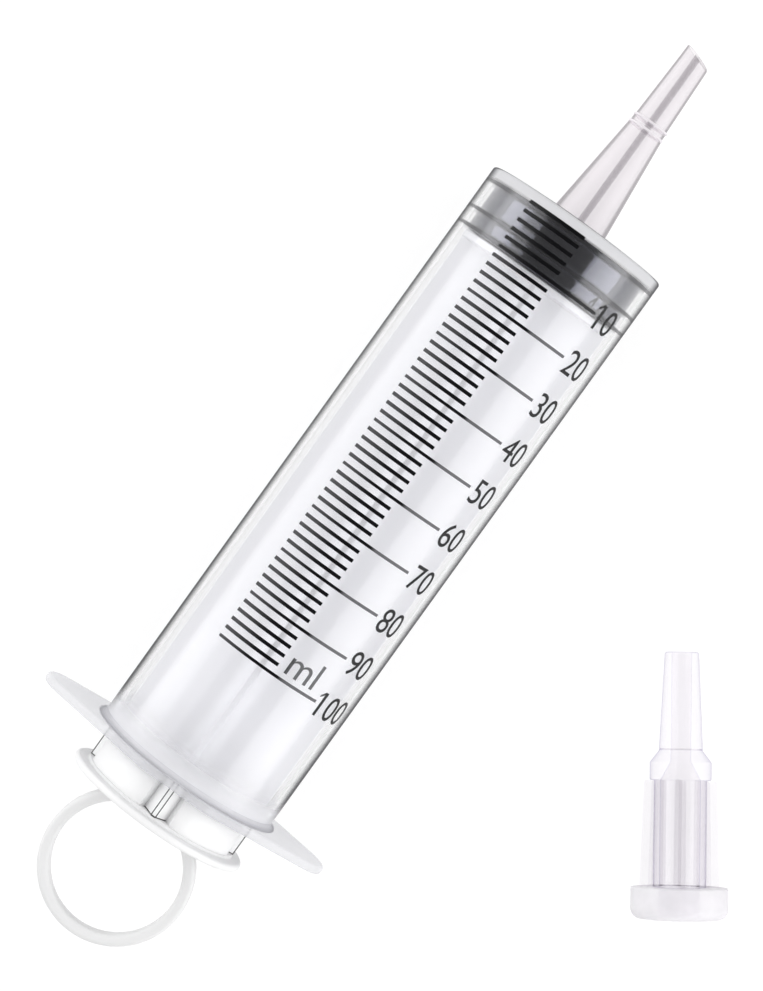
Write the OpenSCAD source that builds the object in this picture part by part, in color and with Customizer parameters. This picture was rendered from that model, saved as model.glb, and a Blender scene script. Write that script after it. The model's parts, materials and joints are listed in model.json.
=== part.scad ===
// Feeding syringe of 100 ml with a catheter nozzle and a ring handle, and its loose stepped adapter.
// It lies on its side with the nozzle along +X, and the surface it lies on is at -Z.
// The origin is on the nozzle's axis, level with the short side of its slanted end.

/* [Barrel] */
// Radius of the barrel's bore
bore_r = 17.9; // [17:0.1:20]
// Thickness of the barrel's wall
barrel_wall = 1.5; // [1.2:0.1:2.2]
// Length of the bore, from the front wall to the rear face of the finger flange
bore_l = 128.2; // [126:0.2:150]
// Thickness of the front wall at its rim
front_wall_t = 2.2; // [1.8:0.1:3]
// How far the middle of the front wall bulges forward
front_dome_h = 0.8; // [0.4:0.1:1.2]
// Radius of the rounded edge round the front wall
front_edge_r = 0.5; // [0.3:0.1:0.8]
// Distance of the stop bead from the rear end of the bore
bead_from_end = 6; // [4:0.5:8]
// Height of the stop bead inside the bore
bead_h = 0.35; // [0.2:0.05:0.5]

/* [Nozzle] */
// Length of the nozzle, from the front wall's rim to the short side of its end
nozzle_l = 38.2; // [30:0.2:50]
// Radius of the nozzle at its foot
nozzle_foot_r = 5.8; // [5:0.1:8]
// Radius of the nozzle just behind its ring marks
nozzle_mark_r = 3.75; // [3.5:0.05:4.5]
// Radius of the nozzle at its end
nozzle_tip_r = 2.95; // [2.4:0.05:3.2]
// Radius of the bore through the nozzle
outlet_r = 0.75; // [0.5:0.05:1.5]
// Distance of the rear ring mark from the end of the nozzle
mark_from_tip = 16.2; // [12:0.1:20]
// Distance between the two ring marks
mark_pitch = 1.6; // [1.2:0.1:2.5]
// Width of one ring mark
mark_w = 0.5; // [0.3:0.1:0.8]
// Height of one ring mark above the taper
mark_h = 0.12; // [0.05:0.01:0.2]
// Slant of the nozzle's end, in degrees
tip_slant = 19; // [0:1:30]

/* [Finger flange] */
// How far each wing of the flange reaches past the barrel
wing_l = 13.2; // [10:0.2:20]
// Radius of the rounded end of a wing
wing_end_r = 7; // [5:0.5:9]
// Thickness of the flange
flange_t = 1.8; // [1.4:0.1:3]
// How far the flange's two flats stand proud of the barrel
flat_proud = 0.8; // [0.3:0.1:1]
// How far the flange's middle would pass those flats if they weren't cut
flange_lip = 0.8; // [0.5:0.1:2]

/* [Scale] */
// Length of the scale, which is 100 ml over the area of the bore
scale_l = 99.35; // [60:0.05:110]
// Number of graduation lines, the one at zero included
line_count = 51; // [26:1:51]
// Graduation lines from one long line to the next
long_every = 5; // [5:5:10]
// Width of a short graduation line
short_line_w = 0.72; // [0.4:0.02:0.8]
// Width of a long graduation line
long_line_w = 0.6; // [0.4:0.02:0.8]
// Thickness of the print on the barrel
ink_t = 0.05; // [0.03:0.01:0.1]
// Angle from the top of the barrel to the common end of the lines, in degrees
line_start = 30.2; // [20:0.2:40]
// Angle from the top of the barrel to the other end of a short line, in degrees
short_line_end = 7.4; // [5:0.2:15]
// Angle from the top of the barrel to the other end of a long line, in degrees
long_line_end = 39.1; // [30:0.2:45]

/* [Seal] */
// Length of the rubber seal
seal_l = 10.4; // [9:0.2:14]
// Radial clearance between the seal and the bore
seal_fit = 0.05; // [0.02:0.01:0.1]
// Length of the seal's front rib
front_rib_l = 1.05; // [0.8:0.05:1.5]
// Length of each of the seal's other ribs
rib_l = 1; // [0.8:0.05:1.5]
// Distance from the seal's front to the front of its middle rib
mid_rib_from_front = 5.9; // [5:0.1:6.5]
// Depth of the seal's recesses between its ribs
recess_d = 0.8; // [0.5:0.1:1.2]
// Thickness of the seal's front wall
seal_front_t = 3; // [2:0.1:4]
// Gap between the seal and the front wall when the syringe is empty
empty_gap = 0.1; // [0.05:0.05:0.3]

/* [Plunger] */
// Gap between the plunger's ribs and the bore
rod_gap = 1; // [0.8:0.1:1.5]
// Thickness of a rib of the plunger
rod_rib_t = 1.4; // [1:0.1:2]
// Radius of the round core where the ribs cross
rod_core_r = 2.2; // [1.5:0.1:3]
// Radius of the head that snaps into the seal
head_r = 13.4; // [12:0.1:14]
// Thickness of that head
head_t = 2.4; // [2:0.1:3]
// Radius of the neck behind the head
neck_r = 11.2; // [9:0.1:11.6]
// Clearance between the head and the seal
head_fit = 0.08; // [0.05:0.01:0.1]
// Thickness of the round plate behind the seal
support_t = 1.4; // [1:0.1:2]
// Gap between the seal's rear face and that plate
support_gap = 0.3; // [0.2:0.05:0.5]
// Gap between the finger flange and the thumb plate when the syringe is empty
thumb_gap = 7.15; // [5:0.05:12]
// Radius of the thumb plate
thumb_r = 19.35; // [18.5:0.05:22]
// Thickness of the thumb plate
thumb_t = 1.6; // [1.2:0.1:2.5]
// Thickness of the round pad where the ribs meet the thumb plate
pad_t = 0.6; // [0.4:0.1:1]

/* [Pull ring] */
// Outer radius of the pull ring
ring_r = 15.4; // [13:0.1:18]
// Width of the ring's bar
ring_w = 2.45; // [2:0.05:3.5]
// Depth of the ring's bar
ring_d = 4; // [3:0.1:5]
// Radius of the rounded edges of the ring's bar
ring_edge_r = 0.9; // [0.5:0.1:0.95]
// How far the ring's circle reaches into the thumb plate's rear face
ring_sink = 2.4; // [1.5:0.1:3]

/* [Adapter] */
// Radius of the adapter's wide flange
adapter_flange_r = 9.55; // [9:0.05:11]
// Length of that flange
adapter_flange_l = 6.2; // [4:0.1:8]
// Radius of the rounded outer edge of that flange
adapter_edge_r = 2; // [1:0.1:2.5]
// Length of the finned body
body_l = 20.9; // [16:0.1:26]
// Radius of the body's round core
core_r = 5.2; // [5:0.05:5.8]
// Number of fins round the body
fin_count = 8; // [6:2:10]
// Thickness of a fin
fin_t = 1.3; // [0.8:0.1:1.8]
// Reach of the fins from the axis, at the flange
fin_low_r = 7.83; // [7.6:0.05:8.5]
// Reach of the fins from the axis, at the collar
fin_high_r = 7.15; // [6.9:0.05:7.5]
// Length of the corner cut off the upper end of a fin
fin_corner = 0.4; // [0.2:0.1:0.6]
// Radius of the collar
collar_r = 6.05; // [5.9:0.05:6.6]
// Length of the collar
collar_l = 3.7; // [3:0.1:5]
// Length of the sloping shoulder
shoulder_l = 2.2; // [1.5:0.1:3]
// Length of the tube
tube_l = 19.3; // [12:0.1:26]
// Radius of the tube at its foot
tube_foot_r = 4; // [3.6:0.05:5]
// Radius of the tube at its end
tube_end_r = 3.37; // [3.2:0.01:3.55]
// Radius of the rounded rim of the tube
tube_rim_r = 0.5; // [0.3:0.1:0.6]
// Radius of the tube's bore
tube_bore_r = 2; // [1.5:0.05:2.4]
// Radius of the socket that goes over the nozzle
socket_r = 4; // [3.8:0.05:4.3]
// Length of the chamfer round the socket's mouth
socket_chamfer = 0.5; // [0.3:0.1:0.8]
// Distance of the adapter's wide end from the barrel's side
adapter_aside = 76.1; // [60:0.1:100]
// Distance of the adapter's wide end behind the barrel's front wall
adapter_back = 95.5; // [60:0.1:110]
// Turn of the adapter from the syringe's axis, in degrees
adapter_turn = 34.8; // [0:0.2:60]

/* [Hidden] */
$fn = 96;

// Overrun of every cut past the surface that it opens
over = 1;

// Barrel, from front to rear
barrel_r = bore_r + barrel_wall;
wall_front_x = -nozzle_l;
wall_rear_x = wall_front_x - front_wall_t;
flange_rear_x = wall_rear_x - bore_l;
flange_front_x = flange_rear_x + flange_t;
bead_x = flange_rear_x + bead_from_end;
// Sphere whose cap is the bulge of the front wall
dome_cap_r = barrel_r - front_edge_r;
dome_r = (dome_cap_r * dome_cap_r + front_dome_h * front_dome_h) / (2 * front_dome_h);
dome_x = wall_front_x + front_dome_h - dome_r;

// Nozzle
tip_mid_x = nozzle_tip_r * tan(tip_slant);
tip_far_x = 2 * tip_mid_x;
mark_rear_x = -mark_from_tip;
mark_front_x = mark_rear_x + mark_pitch;
foot_x = dome_x + sqrt(dome_r * dome_r - nozzle_foot_r * nozzle_foot_r);
funnel_r = 2 * outlet_r;

// Finger flange
flat_z = barrel_r + flat_proud;
flange_mid_r = flat_z + flange_lip;
wing_x = barrel_r + wing_l - wing_end_r;
wing_angle = asin((flange_mid_r - wing_end_r) / wing_x);

// Scale
line_pitch = scale_l / (line_count - 1);
zero_x = wall_rear_x - empty_gap;

// Seal, its front and rear at rest
seal_r = bore_r - seal_fit;
seal_front_x = wall_rear_x - empty_gap;
seal_rear_x = seal_front_x - seal_l;
pocket_front_x = seal_front_x - seal_front_t;
pocket_rear_x = pocket_front_x - head_t - 2 * head_fit;

// Plunger
rod_r = bore_r - rod_gap;
head_front_x = pocket_front_x - head_fit;
head_rear_x = head_front_x - head_t;
support_front_x = seal_rear_x - support_gap;
support_rear_x = support_front_x - support_t;
thumb_front_x = flange_rear_x - thumb_gap;
thumb_rear_x = thumb_front_x - thumb_t;
pad_front_x = thumb_front_x + pad_t;
ring_x = thumb_rear_x + ring_sink - ring_r;

// Adapter, along its own axis from the wide end
body_x = adapter_flange_l;
collar_x = body_x + body_l;
shoulder_x = collar_x + collar_l;
tube_x = shoulder_x + shoulder_l;
end_x = tube_x + tube_l;
// It rests on the flange's rim and on the upper end of the lowest fin
rest_tilt = atan((adapter_flange_r - fin_high_r) / (body_l - fin_corner));
adapter_x = wall_rear_x - adapter_back;
adapter_y = -barrel_r - adapter_aside;
adapter_z = -flat_z + adapter_flange_l * sin(rest_tilt) + adapter_flange_r * cos(rest_tilt);

// Turns an outline of radius and length about the X axis
module turned() {
    rotate([0, 90, 0]) rotate_extrude() children();
}

// A straight round bar or hole along X
module bar(from_x, to_x, r) {
    translate([from_x, 0, 0]) rotate([0, 90, 0]) cylinder(h = to_x - from_x, r = r);
}

// A cone along X
module cone(from_x, to_x, from_r, to_r) {
    translate([from_x, 0, 0]) rotate([0, 90, 0]) cylinder(h = to_x - from_x, r1 = from_r, r2 = to_r);
}

// A flat oblong with round corners, centred
module soft_rect(w, h, r) {
    square([w - 2 * r, h], center = true);
    square([w, h - 2 * r], center = true);
    for (sx = [-1, 1], sy = [-1, 1]) {
        translate([sx * (w / 2 - r), sy * (h / 2 - r)]) circle(r = r);
    }
}

// The tapered outside of the nozzle, with its two ring marks
module nozzle_outside() {
    turned() polygon([
        [0, foot_x],
        [nozzle_foot_r, foot_x],
        [nozzle_mark_r, mark_rear_x],
        [nozzle_mark_r + mark_h, mark_rear_x],
        [nozzle_mark_r + mark_h, mark_rear_x + mark_w],
        [nozzle_mark_r - mark_h, mark_rear_x + mark_w],
        [nozzle_mark_r - mark_h, mark_front_x],
        [nozzle_mark_r, mark_front_x],
        [nozzle_mark_r, mark_front_x + mark_w],
        [nozzle_mark_r - 2 * mark_h, mark_front_x + mark_w],
        [nozzle_tip_r, tip_far_x],
        [0, tip_far_x]
    ]);
}

module nozzle() {
    color([0.93, 0.92, 0.94]) difference() {
        nozzle_outside();
        bar(wall_front_x - over, tip_far_x + over, outlet_r);
        // The end is cut at a slant that passes the axis at its middle
        translate([tip_mid_x, 0, 0]) rotate([0, 0, -tip_slant])
            translate([0, -2 * nozzle_foot_r, -2 * nozzle_foot_r])
                cube([4 * nozzle_foot_r, 4 * nozzle_foot_r, 4 * nozzle_foot_r]);
    }
}

// The front wall's outline: a rounded edge, and a low bulge cut flat where the nozzle stands
module front_wall_outline() {
    translate([0, wall_rear_x]) square([barrel_r, front_wall_t - front_edge_r]);
    translate([0, wall_rear_x]) square([dome_cap_r, front_wall_t]);
    translate([dome_cap_r, wall_front_x - front_edge_r]) circle(r = front_edge_r);
    intersection() {
        translate([0, dome_x]) circle(r = dome_r, $fn = 720);
        translate([0, wall_front_x]) square([dome_cap_r, foot_x - wall_front_x]);
    }
}

module front_wall() {
    color([0.9, 0.9, 0.92]) difference() {
        turned() front_wall_outline();
        // The nozzle's bore opens as a funnel inside
        cone(wall_rear_x, foot_x, funnel_r, outlet_r);
    }
}

module barrel_tube() {
    color([0.86, 0.87, 0.9, 0.55]) union() {
        turned() translate([bore_r, flange_front_x]) square([barrel_wall, wall_rear_x - flange_front_x]);
        // A low bead inside keeps the seal from being pulled out
        turned() intersection() {
            translate([bore_r, bead_x]) circle(r = bead_h);
            translate([bore_r - bead_h, bead_x - bead_h]) square([bead_h + barrel_wall / 2, 2 * bead_h]);
        }
    }
}

// The flange's outline: two tapering wings with round ends
module flange_outline() {
    for (side = [-1, 1]) {
        translate([0, side * wing_x]) circle(r = wing_end_r);
    }
    polygon([
        for (side = [-1, 1]) each [
            [side * wing_end_r * cos(wing_angle), -side * (wing_x + wing_end_r * sin(wing_angle))],
            [side * flange_mid_r / cos(wing_angle), 0],
            [side * wing_end_r * cos(wing_angle), side * (wing_x + wing_end_r * sin(wing_angle))]
        ]
    ]);
}

module finger_flange() {
    color([0.9, 0.9, 0.93]) translate([flange_rear_x, 0, 0]) rotate([0, 90, 0]) linear_extrude(height = flange_t)
        difference() {
            intersection() {
                flange_outline();
                // Two flats keep the syringe from rolling
                square([2 * flat_z, 4 * (barrel_r + wing_l)], center = true);
            }
            circle(r = bore_r);
        }
}

// One printed line, from one angle to another over the top of the barrel
module scale_line(x, w, end_angle) {
    rotate([0, 90, 0]) rotate([0, 0, 180 - line_start])
        rotate_extrude(angle = line_start + end_angle)
            translate([barrel_r, x - w / 2]) square([ink_t, w]);
}

module scale_lines() {
    color([0.08, 0.08, 0.09]) for (i = [0 : line_count - 1]) {
        long = i % long_every == 0 && i > 0;
        scale_line(
            zero_x - i * line_pitch,
            long ? long_line_w : short_line_w,
            long ? long_line_end : short_line_end
        );
    }
}

module seal() {
    color([0.13, 0.13, 0.14]) difference() {
        turned() translate([0, seal_rear_x]) square([seal_r, seal_l]);
        // Two recesses leave three ribs round the seal
        turned() {
            translate([seal_r - recess_d, seal_front_x - mid_rib_from_front])
                square([recess_d + over, mid_rib_from_front - front_rib_l]);
            translate([seal_r - recess_d, seal_rear_x + rib_l])
                square([recess_d + over, seal_l - mid_rib_from_front - 2 * rib_l]);
        }
        // The pocket for the rod's head, and the hole for its neck
        bar(pocket_rear_x, pocket_front_x, head_r + head_fit);
        bar(seal_rear_x - over, pocket_front_x, neck_r + head_fit);
    }
}

module rod_head() {
    color([0.95, 0.95, 0.95]) union() {
        bar(head_rear_x, head_front_x, head_r);
        bar(support_front_x, head_rear_x, neck_r);
        bar(support_rear_x, support_front_x, rod_r);
    }
}

module plunger_rod() {
    rod_l = support_rear_x - pad_front_x;
    color([0.97, 0.97, 0.97]) union() {
        bar(pad_front_x, support_rear_x, rod_core_r);
        translate([pad_front_x, -rod_r, -rod_rib_t / 2]) cube([rod_l, 2 * rod_r, rod_rib_t]);
        translate([pad_front_x, -rod_rib_t / 2, -rod_r]) cube([rod_l, rod_rib_t, 2 * rod_r]);
    }
}

module thumb_plate() {
    color([0.93, 0.93, 0.93]) union() {
        turned() translate([0, thumb_rear_x]) {
            square([thumb_r - thumb_t / 2, thumb_t]);
            translate([thumb_r - thumb_t / 2, thumb_t / 2]) intersection() {
                circle(r = thumb_t / 2);
                translate([0, -thumb_t / 2]) square(thumb_t);
            }
        }
        bar(thumb_front_x, pad_front_x, rod_r);
    }
}

module pull_ring() {
    color([0.92, 0.92, 0.92]) intersection() {
        translate([ring_x, 0, 0]) rotate_extrude()
            translate([ring_r - ring_w / 2, 0]) soft_rect(ring_w, ring_d, ring_edge_r);
        // The ring ends flat against the thumb plate
        translate([thumb_rear_x - 2 * ring_r, -ring_r, -ring_d]) cube([2 * ring_r, 2 * ring_r, 2 * ring_d]);
    }
}

// Lays a piece of the adapter, made along its own axis, where the adapter lies
module laid_adapter() {
    translate([adapter_x, adapter_y, adapter_z]) rotate([0, rest_tilt, adapter_turn]) children();
}

module adapter_flange() {
    color([0.93, 0.92, 0.94]) laid_adapter() difference() {
        turned() difference() {
            square([adapter_flange_r, adapter_flange_l]);
            translate([adapter_flange_r - adapter_edge_r, -adapter_edge_r]) difference() {
                square(2 * adapter_edge_r);
                translate([0, 2 * adapter_edge_r]) circle(r = adapter_edge_r);
            }
        }
        bar(-over, body_x + over, socket_r);
        cone(0, socket_chamfer, socket_r + socket_chamfer, socket_r);
    }
}

// One fin, which narrows towards the collar
module fin(angle) {
    rotate([angle, 0, 0]) translate([0, fin_t / 2, 0]) rotate([90, 0, 0]) linear_extrude(height = fin_t)
        polygon([
            [body_x, socket_r + fin_t / 4],
            [body_x, fin_low_r],
            [collar_x - fin_corner, fin_high_r],
            [collar_x, fin_high_r - fin_corner],
            [collar_x, socket_r + fin_t / 4]
        ]);
}

module adapter_body() {
    color([0.92, 0.91, 0.95]) laid_adapter() difference() {
        union() {
            bar(body_x, collar_x, core_r);
            bar(collar_x, shoulder_x, collar_r);
            for (i = [0 : fin_count - 1]) {
                fin(i * 360 / fin_count + 180);
            }
        }
        bar(body_x - over, collar_x, socket_r);
        cone(collar_x, shoulder_x, socket_r, tube_bore_r);
    }
}

module adapter_tube() {
    color([0.92, 0.91, 0.95]) laid_adapter() difference() {
        turned() difference() {
            polygon([
                [0, shoulder_x],
                [collar_r, shoulder_x],
                [tube_foot_r, tube_x],
                [tube_end_r, end_x - tube_rim_r],
                [tube_end_r, end_x],
                [0, end_x]
            ]);
            translate([tube_end_r - tube_rim_r, end_x - tube_rim_r]) difference() {
                square(2 * tube_rim_r);
                circle(r = tube_rim_r);
            }
        }
        bar(shoulder_x - over, end_x + over, tube_bore_r);
    }
}

nozzle();
front_wall();
barrel_tube();
finger_flange();
scale_lines();
seal();
rod_head();
plunger_rod();
thumb_plate();
pull_ring();
adapter_flange();
adapter_body();
adapter_tube();
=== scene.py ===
# A feeding syringe of 100 ml and its loose tube adapter, dressed for a studio picture.
import json
import math

import bmesh
import bpy
from mathutils import Matrix, Vector


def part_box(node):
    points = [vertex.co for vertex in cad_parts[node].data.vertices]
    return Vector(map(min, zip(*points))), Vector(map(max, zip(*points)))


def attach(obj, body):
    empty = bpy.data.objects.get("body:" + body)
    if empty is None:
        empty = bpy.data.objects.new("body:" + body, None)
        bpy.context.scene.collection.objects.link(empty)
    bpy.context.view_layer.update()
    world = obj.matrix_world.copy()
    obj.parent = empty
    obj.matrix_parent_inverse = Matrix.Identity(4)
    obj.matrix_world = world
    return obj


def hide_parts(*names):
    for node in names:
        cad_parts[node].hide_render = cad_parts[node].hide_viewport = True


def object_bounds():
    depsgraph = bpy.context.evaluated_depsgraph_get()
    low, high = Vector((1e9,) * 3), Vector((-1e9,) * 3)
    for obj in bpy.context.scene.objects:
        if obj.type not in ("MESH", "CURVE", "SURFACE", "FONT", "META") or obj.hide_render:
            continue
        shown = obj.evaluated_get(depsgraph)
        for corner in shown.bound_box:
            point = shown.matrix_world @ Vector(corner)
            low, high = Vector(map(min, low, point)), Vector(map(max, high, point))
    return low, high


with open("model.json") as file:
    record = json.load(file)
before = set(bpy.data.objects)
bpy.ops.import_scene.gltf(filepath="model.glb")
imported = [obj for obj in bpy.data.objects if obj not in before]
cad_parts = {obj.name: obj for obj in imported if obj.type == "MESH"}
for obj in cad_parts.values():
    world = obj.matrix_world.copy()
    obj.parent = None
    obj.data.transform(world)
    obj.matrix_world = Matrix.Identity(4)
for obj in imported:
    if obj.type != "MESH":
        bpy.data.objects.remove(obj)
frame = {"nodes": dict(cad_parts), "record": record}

cadLow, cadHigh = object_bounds()
mm = 0.001
turn = 2 * math.pi
mergeGap = 0.001 * mm  # points nearer than this are one
mounts = {m["name"]: m for m in frame["record"]["mounts"]}
print("frame loaded")


# Places that the pieces share, all read from the CAD nodes
def spanX(node):
    low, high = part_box(node)
    return low[0], high[0]


def radiusOf(node):
    low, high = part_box(node)
    return (high[1] - low[1]) / 2


flangeRearX, flangeFrontX = spanX("finger_flange")
wallRearX, footX = spanX("front_wall")
sealRearX, sealFrontX = spanX("seal")
headRearX, headFrontX = spanX("rod_head")
thumbRearX, padFrontX = spanX("thumb_plate")
ringRearX = spanX("pull_ring")[0]
scaleRearX, scaleFrontX = spanX("scale_lines")
barrelRadius = radiusOf("barrel_tube")
sealRadius = radiusOf("seal")
rodRadius = radiusOf("rod_head")
thumbRadius = radiusOf("thumb_plate")
ringRadius = radiusOf("pull_ring")
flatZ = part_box("finger_flange")[1][2]
wingReach = radiusOf("finger_flange")
tableZ = cadLow[2]


def placed(at, x, y, z):
    # a frame at a point, with these directions as its axes
    return Matrix.Translation(at) @ Matrix((x, y, z)).transposed().to_4x4()


# What a user would change in the picture
pictureSizes = {
    "height": 991,  # pixels
    "scale": 5205.0,  # pixels to a metre at the syringe's axis
    "height_over_axis": 0.580,
    "above_x": -0.072,
    "aim_x": -0.10194,
    "aim_y": 0.0003,
    "lean": 35.66,  # degrees from the picture's upright to the syringe's axis
    "sensor": 36.0,
}


def makeCamera(sizes):
    eye = Vector((sizes["above_x"], sizes["aim_y"], sizes["height_over_axis"]))
    aim = Vector((sizes["aim_x"], sizes["aim_y"], 0))
    back = (eye - aim).normalized()
    lean = math.radians(sizes["lean"])
    up = Vector((math.cos(lean), math.sin(lean), 0))
    right = up.cross(back).normalized()
    up = back.cross(right)
    data = bpy.data.cameras.new("pictureCamera")
    data.sensor_width = sizes["sensor"]
    pixels = sizes["scale"] * (eye - aim).length
    data.lens = pixels * sizes["sensor"] / sizes["height"]
    data.clip_start = 0.01
    data.clip_end = 20
    camera = bpy.data.objects.new("pictureCamera", data)
    camera.matrix_world = placed(eye, right, up, back)
    bpy.context.scene.collection.objects.link(camera)
    bpy.context.scene.camera = camera


makeCamera(pictureSizes)
print("camera placed")


# Node helpers
def newNode(tree, kind, at=(0, 0), **settings):
    node = tree.nodes.new(kind)
    node.location = at
    for key, value in settings.items():
        setattr(node, key, value)
    return node


def join(output, entry):
    # a link in the tree that both sockets belong to
    output.id_data.links.new(output, entry)


def setInputs(node, values):
    for name, value in values.items():
        node.inputs[name].default_value = value


def mathNode(tree, operation, first, second=None):
    node = newNode(tree, "ShaderNodeMath", operation=operation)
    for socket, value in zip(node.inputs, (first, second)):
        if isinstance(value, (int, float)):
            socket.default_value = value
        elif value is not None:
            join(value, socket)
    return node.outputs[0]


def mixColours(tree, factor, first, second):
    node = newNode(tree, "ShaderNodeMix", data_type="RGBA")
    join(factor, node.inputs["Factor"])
    for socket, value in zip((node.inputs[6], node.inputs[7]), (first, second)):
        if isinstance(value, tuple):
            socket.default_value = (*value, 1)
        else:
            join(value, socket)
    return node.outputs[2]


def mixShaders(tree, factor, first, second):
    node = newNode(tree, "ShaderNodeMixShader")
    if isinstance(factor, (int, float)):
        node.inputs[0].default_value = factor
    else:
        join(factor, node.inputs[0])
    join(first, node.inputs[1])
    join(second, node.inputs[2])
    return node.outputs[0]


def tinted(tree, kind, colour):
    # a plain shader of one colour
    node = newNode(tree, "ShaderNodeBsdf" + kind)
    node.inputs["Color"].default_value = (*colour, 1)
    return node.outputs[0]


def milkyMix(tree, look):
    # what a haze throws back, and what it lets through
    milk = tinted(tree, "Diffuse", look["haze_colour"])
    glow = tinted(tree, "Translucent", look["haze_colour"])
    return mixShaders(tree, look["glow_share"], milk, glow)


def newMaterial(name):
    material = bpy.data.materials.new(name)
    material.use_nodes = True
    tree = material.node_tree
    tree.nodes.clear()
    output = newNode(tree, "ShaderNodeOutputMaterial", (900, 0))
    return material, tree, output


def objectPlace(tree):
    return newNode(tree, "ShaderNodeTexCoord", (-1200, 0)).outputs["Object"]


def noise(tree, place, scale, detail=3.0):
    node = newNode(tree, "ShaderNodeTexNoise", (-1000, 0))
    setInputs(node, {"Scale": scale, "Detail": detail})
    join(place, node.inputs["Vector"])
    return node.outputs["Fac"]


def bump(tree, height, strength, distance):
    node = newNode(tree, "ShaderNodeBump", (-400, -300))
    setInputs(node, {"Strength": strength, "Distance": distance})
    join(height, node.inputs["Height"])
    return node.outputs["Normal"]


def rampNode(tree, value, stops):
    # greys along a value, as (place, grey) pairs
    node = newNode(tree, "ShaderNodeValToRGB", (-700, 300))
    points = node.color_ramp.elements
    while len(points) < len(stops):
        points.new(0.5)
    for point, (at, grey) in zip(points, stops):
        point.position = at
        point.color = (grey, grey, grey, 1)
    join(value, node.inputs[0])
    return node.outputs["Color"]


def edgeShare(tree, power):
    # 0 where the surface is seen square on, 1 where it is seen along itself
    weight = newNode(tree, "ShaderNodeLayerWeight", (-1000, 300))
    weight.inputs["Blend"].default_value = 0.5
    return mathNode(tree, "POWER", weight.outputs["Facing"], power)


def shareAlong(tree, place, start, end, most):
    # grows from 0 at one place along the syringe to most at another
    along = newNode(tree, "ShaderNodeSeparateXYZ")
    join(place, along.inputs[0])
    share = newNode(tree, "ShaderNodeMapRange", interpolation_type="SMOOTHSTEP")
    setInputs(share, {"From Min": start, "From Max": end, "To Max": most})
    join(along.outputs["X"], share.inputs["Value"])
    return share.outputs["Result"]


# The clear barrel bends what is seen through it, matt at the front wall and milky at the flange
def clearPlastic(name, look):
    material, tree, output = newMaterial(name)
    place = objectPlace(tree)
    glass = newNode(tree, "ShaderNodeBsdfPrincipled")
    setInputs(glass, {
        "Base Color": (*look["tint"], 1),
        "Specular Tint": (*look["mirror"], 1),
        "Roughness": look["roughness"],
        "IOR": look["bending"],
        "Transmission Weight": 1,
        "Coat Weight": look["coat"],
        "Coat Roughness": look["coat_roughness"],
        "Coat IOR": look["coat_bending"],
    })
    ripple = bump(tree, noise(tree, place, look["ripple_scale"], 0.0), look["ripple"], look["ripple_depth"])
    join(ripple, glass.inputs["Normal"])
    # lamps and bounced light pass straight through the wall
    path = newNode(tree, "ShaderNodeLightPath")
    straight = tinted(tree, "Transparent", look["light_tint"])
    clear = mixShaders(tree, path.outputs["Is Shadow Ray"], glass.outputs[0], straight)
    clear = mixShaders(tree, path.outputs["Is Diffuse Ray"], clear, straight)
    frost = shareAlong(tree, place, wallRearX, wallRearX + look["frost_start"], look["frost"])
    root = shareAlong(tree, place, flangeFrontX + look["root_reach"], flangeFrontX, look["root"])
    flow = mathNode(tree, "ADD", noise(tree, place, look["flow_scale"]), 0.5)
    haze = mathNode(tree, "MAXIMUM", mathNode(tree, "MULTIPLY", flow, look["haze"]), frost)
    haze = mathNode(tree, "MAXIMUM", haze, root)
    wall = mixShaders(tree, haze, clear, milkyMix(tree, look))
    # looked at along itself the wall is dark, but for the milky part
    dark = tinted(tree, "Diffuse", look["edge_colour"])
    edge = rampNode(tree, edgeShare(tree, 1.0), look["edge_ramp"])
    edge = mathNode(tree, "MULTIPLY", edge, mathNode(tree, "SUBTRACT", 1.0, root))
    join(mixShaders(tree, edge, wall, dark), output.inputs["Surface"])
    return material


# A milky moulded plastic: a see-through film, haze and a gloss
def milkyPlastic(name, look):
    material, tree, output = newMaterial(name)
    place = objectPlace(tree)
    edge = rampNode(tree, edgeShare(tree, look["edge_power"]), look["edge_ramp"])
    flow = noise(tree, place, look["flow_scale"])
    film = newNode(tree, "ShaderNodeBsdfTransparent")
    join(mixColours(tree, edge, look["tint"], look["edge_tint"]), film.inputs["Color"])
    haze = mathNode(tree, "MULTIPLY", mathNode(tree, "ADD", flow, 0.5), look["haze"])
    body = mixShaders(tree, haze, film.outputs[0], milkyMix(tree, look))
    gloss = newNode(tree, "ShaderNodeBsdfGlossy")
    gloss.inputs["Roughness"].default_value = look["roughness"]
    ripple = bump(tree, noise(tree, place, look["ripple_scale"]), look["ripple"], look["ripple_depth"])
    join(ripple, gloss.inputs["Normal"])
    shine = mathNode(tree, "MULTIPLY", edgeShare(tree, look["shine_power"]), look["edge_shine"])
    shine = mathNode(tree, "ADD", shine, look["shine"])
    join(mixShaders(tree, shine, body, gloss.outputs[0]), output.inputs["Surface"])
    return material


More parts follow.
